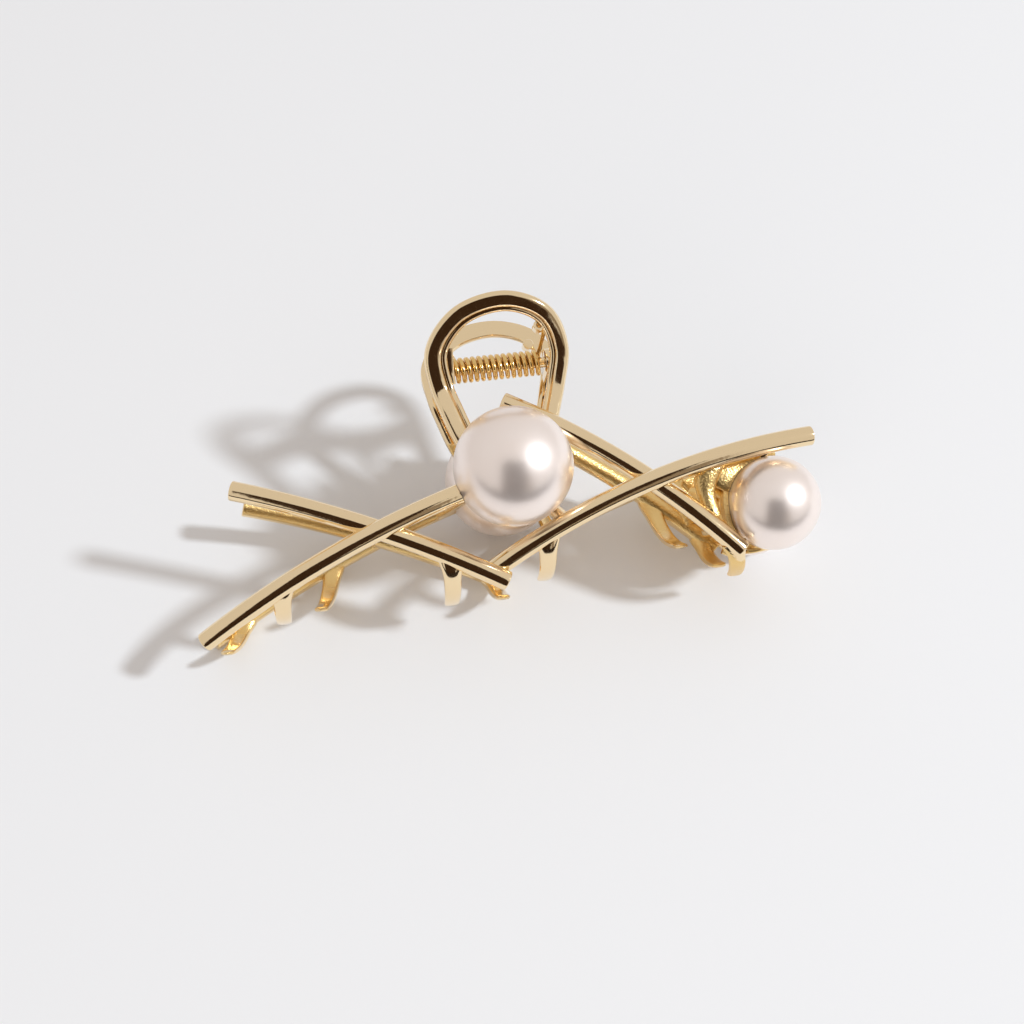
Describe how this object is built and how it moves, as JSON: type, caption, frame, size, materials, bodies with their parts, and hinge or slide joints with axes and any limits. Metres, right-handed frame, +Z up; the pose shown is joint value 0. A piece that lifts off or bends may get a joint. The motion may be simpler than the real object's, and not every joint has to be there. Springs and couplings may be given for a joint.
{
  "type": "claw hair clip",
  "caption": "Gold-plated metal claw hair clip with crossing rods, imitation pearls, loop handles, curved interlocking teeth and a torsion spring on a hinge pin, lying on its rear jaw.",
  "frame": {"origin": "centre of the bounding box's bottom face, on the surface the clip lies on", "axes": "+X along the length, nearly along the hinge pin and towards the side pearl; +Y towards the raised handles; +Z up, from the rear jaw that lies on the surface towards the front jaw"},
  "size_m": [0.1062, 0.0566, 0.0471],
  "materials": {
    "gold_casting": "polished pale gold plating over a zinc-alloy casting",
    "spring_wire": "gold-plated spring wire",
    "pin_metal": "gold-plated rivet pin",
    "pearl": "pearlescent coated imitation pearl"
  },
  "bodies": {
    "rear_jaw": {"rear_handle_loop": "gold_casting", "rear_hinge_ear_left": "gold_casting", "rear_hinge_ear_right": "gold_casting", "rear_spring_boss": "gold_casting", "rear_long_left_rod": "gold_casting", "rear_cross_left_rod": "gold_casting", "rear_long_right_rod": "gold_casting", "rear_cross_right_rod": "gold_casting", "rear_side_bracket": "gold_casting", "rear_tooth_1": "gold_casting", "rear_tooth_2": "gold_casting", "rear_tooth_3": "gold_casting", "rear_tooth_4": "gold_casting", "rear_tooth_5": "gold_casting", "rear_main_pearl_seat": "gold_casting", "rear_side_pearl_seat": "gold_casting", "rear_main_pearl": "pearl", "rear_side_pearl": "pearl", "hinge_pin": "pin_metal", "torsion_spring": "spring_wire"},
    "front_jaw": {"front_handle_loop": "gold_casting", "front_hinge_ear_left": "gold_casting", "front_hinge_ear_right": "gold_casting", "front_spring_boss": "gold_casting", "front_long_left_rod": "gold_casting", "front_cross_left_rod": "gold_casting", "front_long_right_rod": "gold_casting", "front_cross_right_rod": "gold_casting", "front_side_bracket": "gold_casting", "front_tooth_1": "gold_casting", "front_tooth_2": "gold_casting", "front_tooth_3": "gold_casting", "front_tooth_4": "gold_casting", "front_main_pearl_seat": "gold_casting", "front_side_pearl_seat": "gold_casting", "front_main_pearl": "pearl", "front_side_pearl": "pearl"}
  },
  "joints": [
    {"name": "jaw_hinge", "type": "hinge", "parent": "rear_jaw", "child": "front_jaw", "pos_m": [0.00197, 0.01231, 0.0301], "axis": [-0.9999, 0, -0.0142], "range_deg": [0, 60], "stiffness_Nm_per_rad": 0.15, "springref_deg": -28.65, "deforming": ["torsion_spring"]}
  ]
}
